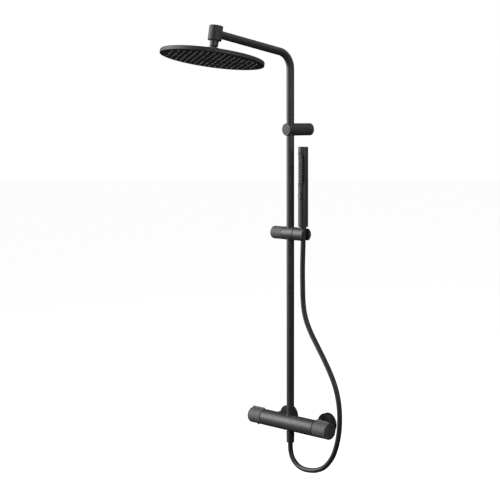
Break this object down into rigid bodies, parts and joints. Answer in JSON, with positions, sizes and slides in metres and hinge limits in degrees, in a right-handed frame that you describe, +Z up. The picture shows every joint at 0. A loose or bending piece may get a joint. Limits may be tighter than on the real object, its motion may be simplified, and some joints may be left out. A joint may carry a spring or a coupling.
{
  "type": "shower column",
  "caption": "Wall-mounted thermostatic shower column in satin black: bar mixer, riser with tilting overhead shower, sliding holder with stick hand shower and hose",
  "frame": {"origin": "On the wall plane, midway between the two water inlets and at their height", "axes": "+Z up along the riser, -Y out from the wall towards the bather, +X towards the flow knob"},
  "size_m": [0.3468, 0.4722, 1.1793],
  "materials": {
    "coating": "satin black coating on brass and steel",
    "knob_coating": "slightly more matte black coating",
    "spray_face": "near-black moulded plastic",
    "plastic": "black acetal",
    "rubber": "dark silicone and washer rubber",
    "hose": "smooth black hose",
    "brass": "turned brass, inside the mixer",
    "steel": "stainless screws"
  },
  "bodies": {
    "column": {"mixer_body": "coating", "thermostatic_cartridge": "brass", "temperature_stop_ring": "plastic", "flow_cartridge": "brass", "flow_stop_ring": "plastic", "inlet_nut_left": "coating", "inlet_nut_right": "coating", "inlet_washer_left": "rubber", "inlet_washer_right": "rubber", "wall_union_left": "coating", "wall_union_right": "coating", "wall_rose_left": "coating", "wall_rose_right": "coating", "riser_collar": "coating", "riser_tube": "coating", "riser_joint_sleeve": "brass", "arm_tube": "coating", "bracket_sleeve": "coating", "bracket_spigot": "steel", "bracket_wall_screw": "steel", "bracket_grub_screw": "steel", "elbow": "coating", "ball_connector": "coating", "shower_hose": "hose", "hose_nut_lower": "coating", "hose_washer_lower": "rubber"},
    "temperature_control": {"temperature_knob": "knob_coating", "temperature_spindle": "brass"},
    "safety_stop": {"safety_button": "plastic"},
    "flow_control": {"flow_knob": "knob_coating", "flow_spindle": "brass"},
    "slider_carrier": {"slider_bush": "plastic"},
    "slider": {"slider_body": "coating", "clamp_pad": "plastic", "cradle_pivot_screw": "steel"},
    "clamp": {"clamp_knob": "knob_coating", "clamp_screw": "steel"},
    "holder": {"cradle": "coating", "cradle_washer": "plastic"},
    "hand_shower": {"hand_shower_shell": "coating", "hand_spray_face": "spray_face", "hand_nozzle_mat": "rubber", "hand_inlet_tail": "brass", "hose_nut_upper": "coating", "hose_washer_upper": "rubber"},
    "spray_selector": {"hand_button": "plastic"},
    "swivel": {"ball_seat_ring": "plastic"},
    "overhead_shower": {"head_collar": "coating", "head_shell": "coating", "head_nozzle_mat": "rubber", "head_face_plate": "spray_face", "head_centre_disc": "spray_face"}
  },
  "joints": [
    {"name": "temperature_turn", "type": "hinge", "parent": "column", "child": "temperature_control", "pos_m": [-0.126, -0.072, 0], "axis": [1, 0, 0], "range_deg": [-120, 60]},
    {"name": "safety_press", "type": "slide", "parent": "temperature_control", "child": "safety_stop", "axis": [0, 0, 1], "range_m": [0, 0.0015], "stiffness_N_per_m": 800, "springref_m": -0.002},
    {"name": "flow_turn", "type": "hinge", "parent": "column", "child": "flow_control", "pos_m": [0.126, -0.072, 0], "axis": [1, 0, 0], "range_deg": [-90, 90]},
    {"name": "slider_slide", "type": "slide", "parent": "column", "child": "slider_carrier", "axis": [0, 0, 1], "range_m": [-0.22, 0.14], "deforming": ["shower_hose"]},
    {"name": "slider_turn", "type": "hinge", "parent": "slider_carrier", "child": "slider", "pos_m": [0, -0.072, 0.5136], "axis": [0, 0, 1], "range_deg": [-35, 35]},
    {"name": "clamp_turn", "type": "hinge", "parent": "slider", "child": "clamp", "pos_m": [-0.04, -0.072, 0.5136], "axis": [1, 0, 0], "range_deg": [0, 270]},
    {"name": "cradle_tilt", "type": "hinge", "parent": "slider", "child": "holder", "pos_m": [0.044, -0.072, 0.5136], "axis": [1, 0, 0], "range_deg": [-8, 30]},
    {"name": "hand_lift", "type": "slide", "parent": "holder", "child": "hand_shower", "axis": [0, 0, 1], "range_m": [0, 0.03]},
    {"name": "spray_select", "type": "slide", "parent": "hand_shower", "child": "spray_selector", "axis": [0, 1, 0], "range_m": [0, 0.0012], "stiffness_N_per_m": 800, "springref_m": -0.002},
    {"name": "head_swivel", "type": "hinge", "parent": "column", "child": "swivel", "pos_m": [0, -0.33681, 0.99177], "axis": [0, 0.1749, 0.9846], "continuous": true},
    {"name": "head_tilt", "type": "hinge", "parent": "swivel", "child": "overhead_shower", "pos_m": [0, -0.33681, 0.99177], "axis": [1, 0, 0], "range_deg": [-12, 12]}
  ]
}
